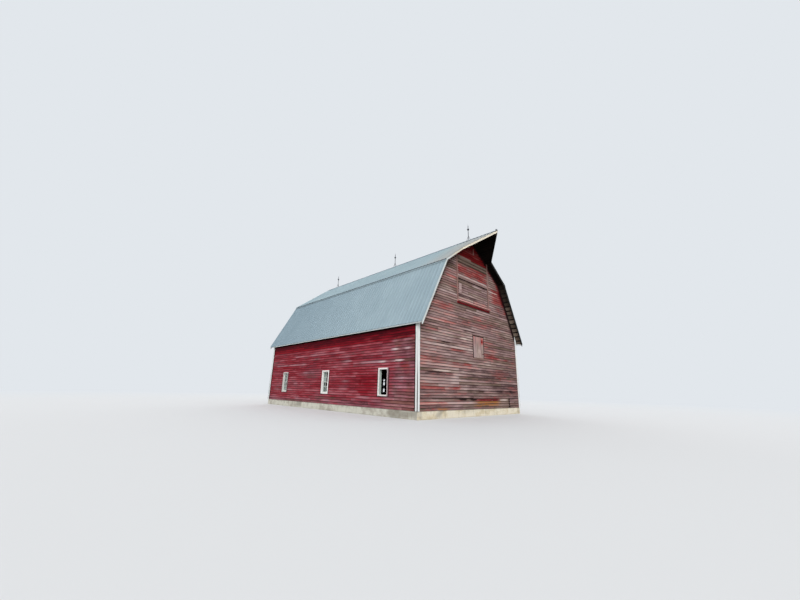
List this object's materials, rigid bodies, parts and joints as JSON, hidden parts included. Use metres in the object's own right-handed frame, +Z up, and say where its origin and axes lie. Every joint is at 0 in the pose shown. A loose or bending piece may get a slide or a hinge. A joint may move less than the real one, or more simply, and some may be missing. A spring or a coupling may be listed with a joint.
{
  "type": "gambrel barn with hay hood",
  "caption": "Red timber barn with a gambrel roof of ribbed metal, a pointed hay hood over a high hay door, a hatch in the gable and small side windows.",
  "frame": {"origin": "at ground level under the middle of the barn's plan, on the underside of the stable floor", "axes": "+Z up, -Y out through the gable with the hay door and the hood, -X out through the long wall with the window that has lost its sash"},
  "size_m": [12.165, 21.8988, 14.0198],
  "materials": {
    "limewashed_concrete": "limewashed, worn",
    "floor_concrete": "rough",
    "bare_timber": "rough sawn, aged",
    "wall_framing": "rough sawn, aged",
    "red_siding": "weathered paint",
    "worn_siding": "paint worn to grey wood",
    "white_trim": "weathered paint",
    "sash_wood": "weathered paint",
    "window_glass": "dusty",
    "hinge_iron": "painted over",
    "roof_boards": "rough sawn, aged",
    "roof_metal": "weathered galvanised",
    "ridge_metal": "weathered galvanised",
    "track_iron": "rusted",
    "rod_metal": "weathered"
  },
  "bodies": {
    "root": {"foundation_sides": "limewashed_concrete", "foundation_ends": "limewashed_concrete", "stable_floor": "floor_concrete", "mow_posts": "bare_timber", "mow_girders": "bare_timber", "mow_joists": "bare_timber", "mow_floor": "bare_timber", "left_wall": "wall_framing", "right_wall": "wall_framing", "front_wall": "wall_framing", "front_wall_cheeks": "wall_framing", "front_wall_peak": "wall_framing", "rear_wall": "wall_framing", "left_siding": "red_siding", "right_siding": "red_siding", "front_siding": "worn_siding", "rear_siding": "red_siding", "corner_boards": "white_trim", "eave_fascias": "white_trim", "front_barge_boards": "white_trim", "rear_barge_boards": "white_trim", "window_frames": "white_trim", "window_sashes": "sash_wood", "window_panes": "window_glass", "hay_door_upper_leaf": "worn_siding", "hay_door_lower_leaf": "worn_siding", "hay_door_casing": "worn_siding", "hay_door_ledge": "worn_siding", "hatch_leaf": "worn_siding", "hatch_hinges": "hinge_iron", "rafters": "bare_timber", "ridge_board": "bare_timber", "left_lower_deck": "roof_boards", "left_upper_deck": "roof_boards", "right_upper_deck": "roof_boards", "right_lower_deck": "roof_boards", "hood_left_deck": "roof_boards", "hood_right_deck": "roof_boards", "left_lower_roofing": "roof_metal", "left_upper_roofing": "roof_metal", "right_upper_roofing": "roof_metal", "right_lower_roofing": "roof_metal", "break_flashings": "roof_metal", "ridge_cap": "ridge_metal", "hay_track": "track_iron", "lightning_rods": "rod_metal"}
  },
  "joints": []
}
